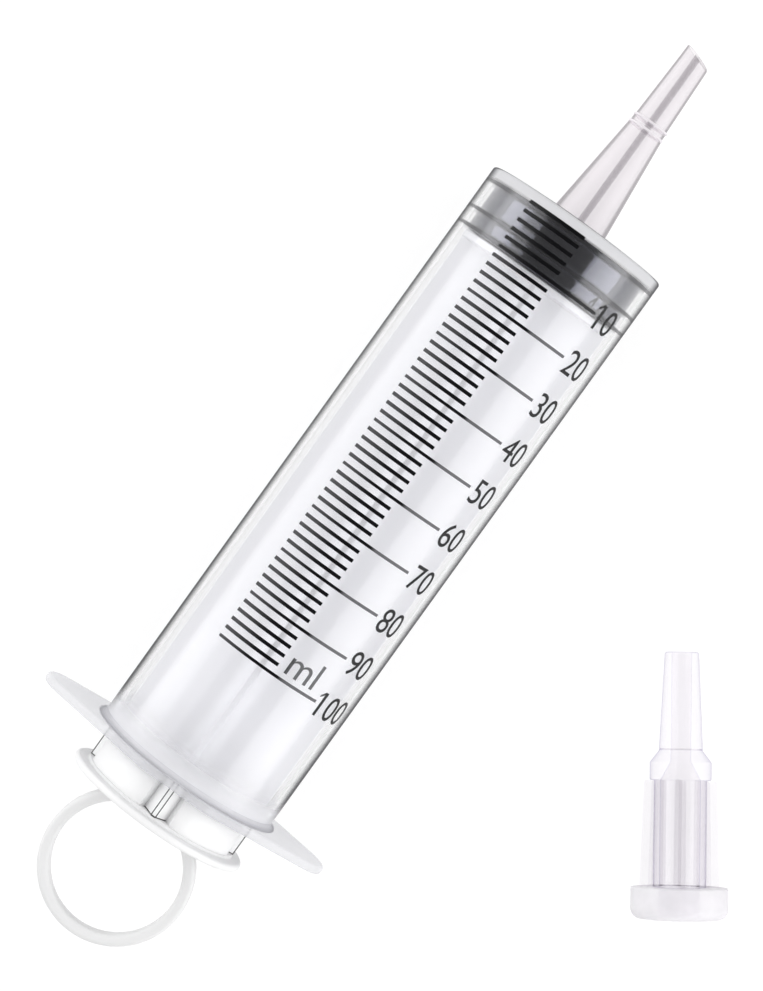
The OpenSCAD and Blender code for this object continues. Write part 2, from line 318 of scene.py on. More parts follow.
barrelLook = {
    "tint": (0.985, 0.985, 0.99),
    "light_tint": (0.915, 0.915, 0.935),
    "mirror": (0.3, 0.3, 0.3),
    "bending": 1.49,
    "roughness": 0.02,
    "coat": 1.0,
    "coat_roughness": 0.25,
    "coat_bending": 1.75,
    "edge_colour": (0.03, 0.03, 0.035),
    "edge_ramp": ((0, 0), (0.64, 0), (0.75, 0.5), (0.83, 0.8), (1, 0.85)),
    "haze": 0.01,
    "haze_colour": (0.86, 0.86, 0.88),
    "glow_share": 0.3,
    "frost": 0.93,
    "frost_start": 0.3 * mm,
    "root": 0.9,
    "root_reach": 7 * mm,
    "flow_scale": 22.0,
    "ripple_scale": 12.0,
    "ripple": 0.003,
    "ripple_depth": 0.2 * mm,
}
boreLook = dict(barrelLook, coat=0.0, edge_ramp=((0, 0), (1, 0.1)))
flangeLook = {
    "tint": (0.98, 0.98, 0.985),
    "edge_tint": (0.965, 0.965, 0.98),
    "edge_power": 4.5,
    "edge_ramp": ((0, 0), (1, 1)),
    "haze": 0.27,
    "haze_colour": (0.87, 0.87, 0.895),
    "glow_share": 0.3,
    "shine": 0.02,
    "edge_shine": 0.05,
    "shine_power": 5.0,
    "roughness": 0.3,
    "flow_scale": 22.0,
    "ripple_scale": 60.0,
    "ripple": 0.03,
    "ripple_depth": 0.2 * mm,
}
flangeFilletLook = dict(flangeLook, haze=0.55)
# painted shade: a darker grey milky finish for the crease where the barrel's fillet meets the flange
flangeRootShadeLook = dict(flangeLook, haze=0.95, haze_colour=(0.66, 0.66, 0.69))
# the nozzle's dark line lies a little inside its edge
nozzleLook = dict(
    flangeLook,
    tint=(0.925, 0.905, 0.92),
    edge_tint=(0.02, 0.02, 0.02),
    edge_power=1.0,
    edge_ramp=((0, 0), (0.42, 0), (0.56, 0.3), (0.76, 0.34), (0.9, 0.12), (1, 0.1)),
    haze=0.12,
    haze_colour=(0.9, 0.87, 0.89),
    roughness=0.12,
    flow_scale=60.0,
)
clearLook = dict(nozzleLook, edge_ramp=((0, 0), (1, 1)))
nozzleBoreLook = dict(
    clearLook,
    tint=(0.72, 0.71, 0.72),
    edge_tint=(1, 1, 1),
    edge_power=1.2,
    haze=0,
    shine=0,
)
markLook = dict(clearLook, haze=0.9, haze_colour=(0.9, 0.868, 0.9), edge_tint=(1, 1, 1))
adapterLook = dict(
    clearLook,
    tint=(0.993, 0.987, 0.996),
    edge_tint=(0.7, 0.68, 0.78),
    edge_power=3.5,
    haze=0.03,
    haze_colour=(0.93, 0.91, 0.95),
    flow_scale=90.0,
)
adapterFinLook = dict(adapterLook, edge_tint=(0.985, 0.972, 0.99), edge_power=3.0)
adapterBoreLook = dict(adapterLook, edge_tint=(0.8, 0.78, 0.9), edge_power=6.0)
adapterRimLook = dict(adapterLook, tint=(0.98, 0.98, 0.977), haze=0.45, edge_tint=(0.9, 0.9, 0.9))


# White moulded plastic, satin, with the faint flow marks of a moulding
def whitePlastic(name, look):
    material, tree, output = newMaterial(name)
    place = objectPlace(tree)
    shader = newNode(tree, "ShaderNodeBsdfPrincipled", (500, 0))
    flow = noise(tree, place, look["flow_scale"])
    join(mixColours(tree, flow, look["colour"], look["flow_colour"]), shader.inputs["Base Color"])
    rough = mathNode(tree, "MULTIPLY", flow, look["flow_roughness"])
    rough = mathNode(tree, "ADD", rough, look["roughness"])
    join(rough, shader.inputs["Roughness"])
    setInputs(shader, {
        "Subsurface Weight": look["depth"],
        "Subsurface Radius": (1, 1, 1),
        "Subsurface Scale": look["depth_scale"],
    })
    grain = bump(tree, noise(tree, place, look["grain_scale"]), look["grain"], look["grain_depth"])
    join(grain, shader.inputs["Normal"])
    join(shader.outputs[0], output.inputs["Surface"])
    return material


rodLook = {
    "colour": (0.97, 0.97, 0.97),
    "flow_colour": (0.95, 0.95, 0.955),
    "roughness": 0.35,
    "depth": 0.1,
    "depth_scale": 0.6 * mm,
    "flow_scale": 40.0,
    "flow_roughness": 0.12,
    "grain_scale": 900.0,
    "grain": 0.06,
    "grain_depth": 0.1 * mm,
}
# painted shade: a darker copy of the rod's plastic for its end near the pad, where the webs are brightly lit
webShadeLook = dict(rodLook, colour=(0.85, 0.85, 0.85), flow_colour=(0.83, 0.83, 0.835))
thumbLook = dict(rodLook, colour=(0.84, 0.84, 0.84), flow_colour=(0.82, 0.82, 0.825))
ringLook = dict(rodLook, colour=(0.745, 0.745, 0.745), flow_colour=(0.725, 0.725, 0.73))
# painted shade: near-black lines on the ribs' bevelled edges and at their feet by the pad
ribShadeLook = dict(rodLook, colour=(0.06, 0.06, 0.06), flow_colour=(0.05, 0.05, 0.05), depth=0.0)


# Black rubber, wet with a thin film of silicone oil that mirrors the room in a violet grey
def sealRubber(name, look):
    material, tree, output = newMaterial(name)
    place = objectPlace(tree)
    shader = newNode(tree, "ShaderNodeBsdfPrincipled", (500, 0))
    cloud = noise(tree, place, look["cloud_scale"])
    join(mixColours(tree, cloud, look["colour"], look["cloud_colour"]), shader.inputs["Base Color"])
    rough = mathNode(tree, "MULTIPLY", cloud, look["cloud_roughness"])
    rough = mathNode(tree, "ADD", rough, look["roughness"])
    join(rough, shader.inputs["Roughness"])
    setInputs(shader, {
        "IOR": look["bending"],
        "Specular Tint": (*look["mirror_colour"], 1),
        "Sheen Weight": look["sheen"],
        "Sheen Roughness": look["sheen_roughness"],
        "Sheen Tint": (*look["sheen_colour"], 1),
    })
    join(shader.outputs[0], output.inputs["Surface"])
    return material


sealLook = {
    "colour": (0.012, 0.012, 0.014),
    "cloud_colour": (0.018, 0.018, 0.021),
    "cloud_scale": 90.0,
    "cloud_roughness": 0.02,
    "roughness": 0.03,
    "bending": 2.1,
    "mirror_colour": (0.8, 0.82, 1),
    "sheen": 0.15,
    "sheen_roughness": 0.3,
    "sheen_colour": (0.8, 0.8, 1),
}
# where a rib presses on the bore there is no air, so it hardly shines
contactLook = dict(sealLook, bending=1.45, sheen=0.0)


# Screen-printed ink with painted highlights: greyer at the left ends of the lines and from their middle to
# the numbers
def printInk(name, look):
    material, tree, output = newMaterial(name)
    place = objectPlace(tree)
    shader = newNode(tree, "ShaderNodeBsdfPrincipled", (500, 0))
    across = newNode(tree, "ShaderNodeSeparateXYZ")
    join(place, across.inputs[0])
    strip = newNode(tree, "ShaderNodeMapRange")
    setInputs(strip, {"From Min": -look["strip"], "From Max": look["strip"]})
    join(across.outputs["Y"], strip.inputs["Value"])
    # places on the ramp are shares of the printed strip's width
    stops = [(0.5 + 0.5 * y * mm / look["strip"], grey) for y, grey in look["highlight_at"]]
    highlightShare = rampNode(tree, strip.outputs["Result"], stops)
    # the painted highlight is left off over the seal
    behind = shareAlong(tree, place, sealRearX - look["line"], sealRearX - 2 * look["line"], 1)
    highlightShare = mathNode(tree, "MULTIPLY", highlightShare, behind)
    speck = noise(tree, place, look["speck_scale"])
    # the painted highlight, speckled, turns the black ink towards grey
    thin = mathNode(tree, "MULTIPLY", highlightShare, mathNode(tree, "ADD", speck, 0.5))
    colour = mixColours(tree, thin, look["colour"], look["highlight_colour"])
    join(colour, shader.inputs["Base Color"])
    setInputs(shader, {"Roughness": look["roughness"], "Specular IOR Level": look["specular"]})
    join(shader.outputs[0], output.inputs["Surface"])
    return material


inkLook = {
    "specular": 0.3,
    "colour": (0.003, 0.003, 0.004),
    "highlight_colour": (0.12, 0.12, 0.125),
    "strip": 20 * mm,
    "line": 0.6 * mm,
    # millimetres across the barrel, +Y to the left, and how much painted highlight greys the ink there
    "highlight_at": ((-13, 0), (-12.4, 1), (-4.8, 1), (-3.8, 0), (3, 0), (10.5, 0.55)),
    "speck_scale": 1500.0,
    "roughness": 0.35,
}

barrelPlastic = clearPlastic("barrelPlastic", barrelLook)
borePlastic = clearPlastic("borePlastic", boreLook)
flangePlastic = milkyPlastic("flangePlastic", flangeLook)
flangeFilletPlastic = milkyPlastic("flangeFilletPlastic", flangeFilletLook)
flangeRootShadePlastic = milkyPlastic("flangeRootShadePlastic", flangeRootShadeLook)
nozzlePlastic = milkyPlastic("nozzlePlastic", nozzleLook)
nozzleBorePlastic = milkyPlastic("nozzleBorePlastic", nozzleBoreLook)
markPlastic = milkyPlastic("markPlastic", markLook)
adapterPlastic = milkyPlastic("adapterPlastic", adapterLook)
adapterBorePlastic = milkyPlastic("adapterBorePlastic", adapterBoreLook)
adapterFinPlastic = milkyPlastic("adapterFinPlastic", adapterFinLook)
adapterRimPlastic = milkyPlastic("adapterRimPlastic", adapterRimLook)
rodPlastic = whitePlastic("rodPlastic", rodLook)
webShadePlastic = whitePlastic("webShadePlastic", webShadeLook)
thumbPlastic = whitePlastic("thumbPlastic", thumbLook)
ringPlastic = whitePlastic("ringPlastic", ringLook)
ribShadePlastic = whitePlastic("ribShadePlastic", ribShadeLook)
rubber = sealRubber("sealRubber", sealLook)
pressedRubber = sealRubber("pressedRubber", contactLook)
ink = printInk("scaleInk", inkLook)
print("materials made")


def newTree(name, inputs, made):
    tree = bpy.data.node_groups.new(name, "GeometryNodeTree")
    for label, kind in inputs:
        tree.interface.new_socket(label, in_out="INPUT", socket_type="NodeSocket" + kind)
    tree.interface.new_socket(made, in_out="OUTPUT", socket_type="NodeSocketGeometry")
    return tree, newNode(tree, "NodeGroupInput", (-1200, 0))


def finishTree(tree, given, mesh):
    # ends a tree with real faces in the piece's own finish
    real = newNode(tree, "GeometryNodeRealizeInstances", (850, 0))
    join(mesh, real.inputs[0])
    finish = newNode(tree, "GeometryNodeSetMaterial", (1000, 0))
    join(real.outputs[0], finish.inputs["Geometry"])
    join(given.outputs["Finish"], finish.inputs["Material"])
    result = newNode(tree, "NodeGroupOutput", (1200, 0))
    join(finish.outputs[0], result.inputs[0])
    return tree


# Geometry Nodes: a form turned on the syringe's axis from its outline
def makeTurningTree():
    inputs = (("Outline", "Geometry"), ("Segments", "Int"), ("Closed", "Int"), ("Finish", "Material"))
    tree, given = newTree("turnedForm", inputs, "Form")
    size = newNode(tree, "GeometryNodeAttributeDomainSize", (-1000, 200), component="MESH")
    join(given.outputs["Outline"], size.inputs["Geometry"])
    count = size.outputs["Point Count"]
    columns = mathNode(tree, "ADD", count, given.outputs["Closed"])
    grid = newNode(tree, "GeometryNodeMeshGrid", (-600, 200))
    setInputs(grid, {"Size X": 1, "Size Y": 1})
    join(columns, grid.inputs["Vertices X"])
    join(mathNode(tree, "ADD", given.outputs["Segments"], 1.0), grid.inputs["Vertices Y"])
    place = newNode(tree, "GeometryNodeInputPosition", (-1000, -200))
    flat = newNode(tree, "ShaderNodeSeparateXYZ", (-800, -200))
    join(place.outputs[0], flat.inputs[0])
    along = mathNode(tree, "ADD", flat.outputs["X"], 0.5)
    step = mathNode(tree, "MULTIPLY", along, mathNode(tree, "SUBTRACT", columns, 1.0))
    index = mathNode(tree, "MODULO", mathNode(tree, "ROUND", step), count)
    sample = newNode(tree, "GeometryNodeSampleIndex", (-200, -100), data_type="FLOAT_VECTOR", domain="POINT")
    join(given.outputs["Outline"], sample.inputs["Geometry"])
    join(place.outputs[0], sample.inputs["Value"])
    join(index, sample.inputs["Index"])
    point = newNode(tree, "ShaderNodeSeparateXYZ", (0, -100))
    join(sample.outputs[0], point.inputs[0])
    angle = mathNode(tree, "MULTIPLY", mathNode(tree, "ADD", flat.outputs["Y"], 0.5), turn)
    spun = newNode(tree, "ShaderNodeCombineXYZ", (300, -100))
    join(point.outputs["X"], spun.inputs["X"])
    radius = point.outputs["Y"]
    join(mathNode(tree, "MULTIPLY", radius, mathNode(tree, "COSINE", angle)), spun.inputs["Y"])
    join(mathNode(tree, "MULTIPLY", radius, mathNode(tree, "SINE", angle)), spun.inputs["Z"])
    move = newNode(tree, "GeometryNodeSetPosition", (500, 0))
    join(grid.outputs["Mesh"], move.inputs["Geometry"])
    join(spun.outputs[0], move.inputs["Position"])
    merge = newNode(tree, "GeometryNodeMergeByDistance", (700, 0))
    merge.inputs["Distance"].default_value = mergeGap
    join(move.outputs[0], merge.inputs["Geometry"])
    return finishTree(tree, given, merge.outputs[0])


# Geometry Nodes: copies of one shape set round the X axis
def makeRoundArrayTree():
    inputs = (("Shape", "Geometry"), ("Count", "Int"), ("Finish", "Material"))
    tree, given = newTree("roundArray", inputs, "Ring")
    line = newNode(tree, "GeometryNodeMeshLine", (-500, 200))
    line.inputs["Offset"].default_value = (0, 0, 0)
    join(given.outputs["Count"], line.inputs["Count"])
    index = newNode(tree, "GeometryNodeInputIndex", (-800, -300)).outputs[0]
    share = mathNode(tree, "DIVIDE", index, given.outputs["Count"])
    spin = newNode(tree, "ShaderNodeCombineXYZ", (-300, -200))
    join(mathNode(tree, "MULTIPLY", share, turn), spin.inputs["X"])
    copies = newNode(tree, "GeometryNodeInstanceOnPoints", (0, 0))
    join(line.outputs["Mesh"], copies.inputs["Points"])
    join(given.outputs["Shape"], copies.inputs["Instance"])
    join(spin.outputs[0], copies.inputs["Rotation"])
    return finishTree(tree, given, copies.outputs[0])


turningTree = makeTurningTree()
roundArrayTree = makeRoundArrayTree()


def runTree(obj, tree, **inputs):
    modifier = obj.modifiers.new("form", "NODES")
    modifier.node_group = tree
    for item in tree.interface.items_tree:
        if item.in_out == "INPUT" and item.name in inputs:
            modifier[item.identifier] = inputs[item.name]
    settled = obj.evaluated_get(bpy.context.evaluated_depsgraph_get())
    mesh = bpy.data.meshes.new_from_object(settled)
    obj.modifiers.remove(modifier)
    mesh.name = obj.name
    obj.data = mesh


def newPiece(name, points, edges=(), faces=(), finish=None):
    mesh = bpy.data.meshes.new(name)
    mesh.from_pydata([tuple(p) for p in points], list(edges), list(faces))
    obj = bpy.data.objects.new(name, mesh)
    bpy.context.scene.collection.objects.link(obj)
    if finish:
        mesh.materials.append(finish)
    return obj


# Merges doubles, turns every face outwards and shades all but the sharp edges smooth
def tidyMesh(obj, sharp=35.0):
    shape = bmesh.new()
    shape.from_mesh(obj.data)
    bmesh.ops.remove_doubles(shape, verts=shape.verts, dist=mergeGap / 2)
    bmesh.ops.dissolve_degenerate(shape, edges=shape.edges, dist=mergeGap / 2)
    bmesh.ops.recalc_face_normals(shape, faces=shape.faces)
    for face in shape.faces:
        face.smooth = True
    shape.to_mesh(obj.data)
    shape.free()
    obj.data.set_sharp_from_angle(angle=math.radians(sharp))


def refinish(obj, finish, chosen):
    # gives another finish to the faces that the test picks
    obj.data.materials.append(finish)
    for face in obj.data.polygons:
        if chosen(face):
            face.material_index = len(obj.data.materials) - 1


def facesAxis(face):
    return face.normal.y * face.center.y + face.normal.z * face.center.z < 0


def fromAxis(face):
    return math.hypot(face.center.y, face.center.z)


def dress(obj, body, slot, *nodes):
    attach(obj, body)
    if nodes:
        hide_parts(*nodes)


def arc(x, r, size, first, last, steps=6):
    # points round a corner, angles in degrees from +X towards larger radius
    turns = [math.radians(first + (last - first) * i / steps) for i in range(steps + 1)]
    return [(x + size * math.cos(a), r + size * math.sin(a)) for a in turns]


def turned(name, outline, finish, closed=True, segments=192):
    edges = [(i, i + 1) for i in range(len(outline) - 1)]
    obj = newPiece(name, [(x, r, 0) for x, r in outline], edges)
    runTree(obj, turningTree, Segments=segments, Closed=int(closed), Finish=finish)
    tidyMesh(obj)
    return obj


def skin(count, sections, closed=False):
    # faces between sections of count points each, joined end to end if closed and capped if not
    faces = []
    for k in range(sections if closed else sections - 1):
        following = (k + 1) % sections
        for i in range(count):
            j = (i + 1) % count
            faces.append((k * count + i, k * count + j, following * count + j, following * count + i))
    if not closed:
        last = (sections - 1) * count
        faces += [tuple(range(count)), tuple(reversed(range(last, last + count)))]
    return faces


# Barrel: the front wall with its low bulge, the tube and the fillet in front of the flange
barrelSizes = {
    "wall": 1.5 * mm,
    "front_wall": 2.2 * mm,
    "front_edge": 0.5 * mm,
    "foot_radius": 5.8 * mm,
    "outlet_radius": 0.75 * mm,
    "funnel_radius": 1.5 * mm,
    "fillet": 1.2 * mm,
    "fillet_share": 0.98,  # of its length that has the fillet's own finish
    "shaded_root": 0.4 * mm,
    "sunk": 0.05 * mm,
    "inner_corner": 0.3 * mm,
    "bulge_steps": 12,
}


def makeBarrel(sizes):
    bore = barrelRadius - sizes["wall"]
    wallFrontX = wallRearX + sizes["front_wall"]
    edge = sizes["front_edge"]
    capRadius = barrelRadius - edge
    rise = footX - wallFrontX
    # the bulge falls away with the radius squared, from the nozzle's foot to the rounded edge
    bulge = []
    for i in range(sizes["bulge_steps"]):
        r = sizes["foot_radius"] + (capRadius - sizes["foot_radius"]) * i / sizes["bulge_steps"]
        fall = (r * r - sizes["foot_radius"] ** 2) / (capRadius**2 - sizes["foot_radius"] ** 2)
        bulge.append((footX - rise * fall, r))
    fillet = sizes["fillet"]
    flare = arc(flangeFrontX + fillet, barrelRadius + fillet, fillet, -90, -180)
    sunkX = flangeFrontX - sizes["sunk"]
    corner = sizes["inner_corner"]
    outline = [
        (footX, sizes["outlet_radius"]),
        *bulge,
        *arc(wallFrontX - edge, barrelRadius - edge, edge, 0, 90),
        *flare,
        (sunkX, barrelRadius + fillet),
        (sunkX, bore),
        *reversed(arc(wallRearX - corner, bore - corner, corner, 0, 90)),
        (wallRearX, sizes["funnel_radius"]),
    ]
    obj = turned("barrel", outline, barrelPlastic, segments=256)
    # the fillet is cut level with the flange's flats
    for vertex in obj.data.vertices:
        vertex.co.z = max(-flatZ, min(flatZ, vertex.co.z))
    refinish(obj, borePlastic, facesAxis)
    filletX = flangeFrontX + sizes["fillet_share"] * fillet
    refinish(obj, flangeFilletPlastic, lambda face: face.center.x < filletX)
    # the fillet's foot at the flange gets the painted crease shade
    refinish(obj, flangeRootShadePlastic, lambda face: face.center.x < flangeFrontX + sizes["shaded_root"])
    dress(obj, "barrel", "barrel_plastic", "barrel_tube", "front_wall")


makeBarrel(barrelSizes)


# Nozzle: two tapers, two ring marks and a slanted end
nozzleSizes = {
    "foot_radius": 5.8 * mm,
    "mark_radius": 3.75 * mm,
    "tip_radius": 2.95 * mm,
    "outlet_radius": 0.75 * mm,
    "mark_from_tip": 16.2 * mm,
    "mark_pitch": 1.6 * mm,
    "mark_width": 0.5 * mm,
    "mark_height": 0.12 * mm,
    "mark_flat": (0.2, 0.8),  # shares of a mark's width
    "second_mark": 0.5,  # of the first one's height
    "slant": 19.0,  # degrees
    "rim": 0.25 * mm,
    "rim_slope": 0.2,
    "sunk": 0.05 * mm,
}


def makeNozzle(sizes):
    rear = -sizes["mark_from_tip"]
    front = rear + sizes["mark_pitch"]
    ring, step = sizes["mark_width"], sizes["mark_height"]
    near, far = sizes["mark_flat"]
    second = sizes["second_mark"] * step
    mark = sizes["mark_radius"]
    rim = sizes["rim"]
    tipRadius = sizes["tip_radius"]
    tan = math.tan(math.radians(sizes["slant"]))
    middleX = tipRadius * tan
    startX = footX - sizes["sunk"]
    outline = [
        (startX, sizes["foot_radius"]),
        (footX, sizes["foot_radius"]),
        (rear, mark),
        (rear + near * ring, mark + step),
        (rear + far * ring, mark + step),
        (rear + ring, mark - step),
        (front, mark - step),
        (front + near * ring, mark + second),
        (front + far * ring, mark + second),
        (front + ring, mark - 2 * step),
        (middleX - 2 * rim - tipRadius * tan, tipRadius + rim * sizes["rim_slope"]),
    ]
    ending = arc(middleX - rim, tipRadius - rim, rim, 90, 0, 4)
    outline += ending + [(middleX, sizes["outlet_radius"]), (startX, sizes["outlet_radius"])]
    obj = turned("nozzle", outline, nozzlePlastic, segments=128)
    # the rings of the end lean with the slant, longer on the left
    for vertex in obj.data.vertices:
        if vertex.co.x > middleX - 1.5 * rim:
            vertex.co.x += vertex.co.y * tan

    def onMark(face):
        x = face.center.x
        along = rear < x < front + ring and 0 < (x - rear) % sizes["mark_pitch"] < ring
        return along and not facesAxis(face)

    refinish(obj, nozzleBorePlastic, facesAxis)
    refinish(obj, markPlastic, onMark)
    dress(obj, "barrel", "nozzle_plastic", "nozzle")


makeNozzle(nozzleSizes)


# Finger flange: a plate with two tapering wings, flats above and below, and rounded edges
flangeSizes = {
    "end_radius": 7 * mm,
    "lip": 0.8 * mm,
    "edge": 0.6 * mm,
    "bore_wall": 1.5 * mm,
    "points": 288,
}


def flangeReach(angle, sizes):
    # how far the outline is from the axis, at an angle from +Y towards +Z
    across, upwards = abs(math.cos(angle)), abs(math.sin(angle))
    middle = flatZ + sizes["lip"]
    end = sizes["end_radius"]
    wingY = wingReach - end
    slope = math.asin((middle - end) / wingY)
    reach = middle / (across * math.sin(slope) + upwards * math.cos(slope))
    if upwards > 0.01:
        reach = min(reach, flatZ / upwards)
    if reach * across > wingY + end * math.sin(slope):
        reach = wingY * across + math.sqrt(max(0, end**2 - (wingY * upwards) ** 2))
    return reach


def makeFlange(sizes):
    count = sizes["points"]
    edge = sizes["edge"]
    bore = barrelRadius - sizes["bore_wall"]
    angles = [turn * i / count for i in range(count)]
    rings = [[(flangeFrontX, bore * math.cos(a), bore * math.sin(a)) for a in angles]]
    profile = arc(flangeFrontX - edge, -edge, edge, 0, 90) + arc(flangeRearX + edge, -edge, edge, 90, 180)
    for x, inset in profile:
        reach = [flangeReach(a, sizes) + inset for a in angles]
        rings.append([(x, r * math.cos(a), r * math.sin(a)) for r, a in zip(reach, angles)])
    rings.append([(flangeRearX, bore * math.cos(a), bore * math.sin(a)) for a in angles])
    points = [p for ring in rings for p in ring]
    faces = skin(count, len(rings), closed=True)
    obj = newPiece("fingerFlange", points, faces=faces, finish=flangePlastic)
    tidyMesh(obj)
    dress(obj, "barrel", "flange_plastic", "finger_flange")


makeFlange(flangeSizes)
print("barrel moulding made")


# Seal: a rubber piston with three ribs, hollow for the rod's head
sealSizes = {
    "ribs": ((0, 1.05), (5.9, 6.9), (9.4, 10.4)),  # millimetres from the seal's front
    "recess": 0.8 * mm,
    "rib_round": 0.3 * mm,
    "squeeze": 0.08 * mm,  # drawn this far over the CAD ribs, so no air is left at the bore
    "contact_share": 0.1,  # of the recess, how deep the pressed finish reaches
    "front": 3 * mm,
    "head_radius": 13.48 * mm,
    "head_length": 2.56 * mm,
    "neck_radius": 11.28 * mm,
}


def makeSeal(sizes):
    size = sizes["rib_round"]
    low = sealRadius - sizes["recess"]
    pressed = sealRadius + sizes["squeeze"]
    outline = [(sealFrontX, 0)]
    for k, (start, end) in enumerate(sizes["ribs"]):
        frontX, rearX = sealFrontX - start * mm, sealFrontX - end * mm
        if k:
            outline += reversed(arc(frontX + size, low + size, size, -180, -90, 4))
        outline += arc(frontX - size, pressed - size, size, 0, 90, 4)
        outline += arc(rearX + size, pressed - size, size, 90, 180, 4)
        if k < len(sizes["ribs"]) - 1:
            outline += reversed(arc(rearX - size, low + size, size, -90, 0, 4))
    pocketX = sealFrontX - sizes["front"]
    outline += [
        (sealRearX, sizes["neck_radius"]),
        (pocketX - sizes["head_length"], sizes["neck_radius"]),
        (pocketX - sizes["head_length"], sizes["head_radius"]),
        (pocketX, sizes["head_radius"]),
        (pocketX, 0),
    ]
    obj = turned("rubberSeal", outline, rubber, closed=False)
    contact = sealRadius - sizes["contact_share"] * sizes["recess"]
    refinish(obj, pressedRubber, lambda face: fromAxis(face) > contact)
    dress(obj, "seal", "seal_rubber", "seal")


makeSeal(sealSizes)


# Plunger: the head's plate, four crossed ribs, a thumb plate on a round pad, and the ring
rodSizes = {
    "rib": 1.4 * mm,
    "root": 3.2 * mm,
    "draft": 0.1 * mm,
    "edge": 0.22 * mm,
    "shade_end": 8 * mm,  # painted shade: the webs are a darker grey and the ribs' bevelled edges near black as far as this from the pad
    "foot_shade": 0.2 * mm,  # and a fine line of painted shade at the foot of each rib's tip
    "web_radius": 16.6 * mm,  # towards the pad, webs fill the ribs' roots out to this
    "web_length": 9.5 * mm,  # they end under the milky root of the flange
    "web_power": 6,
    "groove_shares": (0.78, 0.94, 0.99),  # how full the webs are beside a rib
    "root_steps": 10,
    # shares of the rod's radius: at least how far out, and at most how far from a rib's middle
    "bevel_shares": (0.95, 0.05),
    "tip_shares": (0.9, 0.15),
    "bevel_slant": 0.5,
    "steps": 12,
    "sunk": 0.1 * mm,
    "support": 1.4 * mm,
    "head": 2.4 * mm,
    "head_radius": 13.4 * mm,
    "neck_radius": 11.2 * mm,
    "round": 0.25 * mm,
}


def makeRodHead(sizes):
    size = sizes["round"]
    supportX = headRearX + sizes["support"]
    neckX = headFrontX - sizes["head"]
    outline = [
        (headFrontX, 0),
        *arc(headFrontX - size, sizes["head_radius"] - size, size, 0, 90, 4),
        *arc(neckX + size, sizes["head_radius"] - size, size, 90, 180, 4),
        (neckX, sizes["neck_radius"]),
        (supportX, sizes["neck_radius"]),
        *arc(supportX - size, rodRadius - size, size, 0, 90, 4),
        *arc(headRearX + size, rodRadius - size, size, 90, 180, 4),
        (headRearX, 0),
    ]
    obj = turned("rodHead", outline, rodPlastic, closed=False, segments=128)
    dress(obj, "plunger", "plunger_plastic", "rod_head")


def rodSection(sizes, filled):
    # a cross of four ribs with round roots, and webs between the ribs as far as they are filled
    half, root, edge = sizes["rib"] / 2, sizes["root"], sizes["edge"]
    thin = half - sizes["draft"]
    reach = math.sqrt(rodRadius**2 - thin**2)
    quarter = [
        (reach - edge, -thin),
        (rodRadius, -thin + edge),
        (rodRadius, thin - edge),
        (reach - edge, thin),
    ]
    steps, shares = sizes["root_steps"], sizes["groove_shares"]
    shares = shares + (1,) * (steps + 1 - 2 * len(shares)) + shares[::-1]
    for share, (y, z) in zip(shares, reversed(arc(half + root, half + root, root, 180, 270, steps))):
        grown = 1 + filled * share * (sizes["web_radius"] / math.hypot(y, z) - 1)
        quarter.append((y * grown, z * grown))
    section = []
    for k in range(4):
        cosine, sine = round(math.cos(turn * k / 4)), round(math.sin(turn * k / 4))
        section += [(y * cosine - z * sine, y * sine + z * cosine) for y, z in quarter]
    return section


def onTip(face, shares):
    # the outer end of a rib
    beside = min(abs(face.center.y), abs(face.center.z))
    return fromAxis(face) > shares[0] * rodRadius and beside < shares[1] * rodRadius


def onBevel(face, sizes):
    # the slanted edges of the ribs' tips
    slant = min(abs(face.normal.y), abs(face.normal.z))
    return slant > sizes["bevel_slant"] and onTip(face, sizes["bevel_shares"])


def makeRod(sizes):
    steps = sizes["steps"]
    footShadeX = padFrontX + sizes["foot_shade"]
    rings = [(padFrontX - sizes["sunk"], 1), (footShadeX, 1)]
    for i in range(1, steps + 1):
        rings.append((footShadeX + sizes["web_length"] * i / steps, 1 - (i / steps) ** sizes["web_power"]))
    rings.append((headRearX + sizes["sunk"], 0))
    points = [(x, y, z) for x, filled in rings for y, z in rodSection(sizes, filled)]
    faces = skin(len(points) // len(rings), len(rings))
    obj = newPiece("plungerRod", points, faces=faces, finish=rodPlastic)
    tidyMesh(obj)
    shadeEndX = padFrontX + sizes["shade_end"]
    # painted shade: the rod's end near the pad is a darker grey copy of its plastic
    refinish(obj, webShadePlastic, lambda face: face.center.x < shadeEndX)
    # painted shade: the ribs' bevels and the feet of their tips near the pad are near black
    refinish(obj, ribShadePlastic, lambda face: face.center.x < shadeEndX and onBevel(face, sizes))
    refinish(obj, ribShadePlastic, lambda face: face.center.x < footShadeX and onTip(face, sizes["tip_shares"]))
    dress(obj, "plunger", "plunger_plastic", "plunger_rod")


thumbSizes = {"thickness": 1.6 * mm, "rim": 0.7 * mm, "pad_edge": 0.3 * mm, "root": 0.4 * mm}


def makeThumbPlate(sizes):
    frontX = thumbRearX + sizes["thickness"]
    rim, pad, root = sizes["rim"], sizes["pad_edge"], sizes["root"]
    outline = [
        (padFrontX, 0),
        *arc(padFrontX - pad, rodRadius - pad, pad, 0, 90, 4),
        *reversed(arc(frontX + root / 2, rodRadius + root / 2, root / 2, 180, 270, 3)),
        *arc(frontX - rim, thumbRadius - rim, rim, 0, 90, 5),
        *arc(thumbRearX + rim, thumbRadius - rim, rim, 90, 180, 5),
        (thumbRearX, 0),
    ]
    obj = turned("thumbPlate", outline, thumbPlastic, closed=False)
    dress(obj, "plunger", "plunger_plastic", "thumb_plate")


ringSizes = {
    "width": 2.45 * mm,
    "depth": 4 * mm,
    "edge": 0.9 * mm,
    "sunk": 0.8 * mm,
    "steps": 144,
    "gap_share": 0.94,  # of the angle at which the bar's outside reaches its end in the thumb plate
}


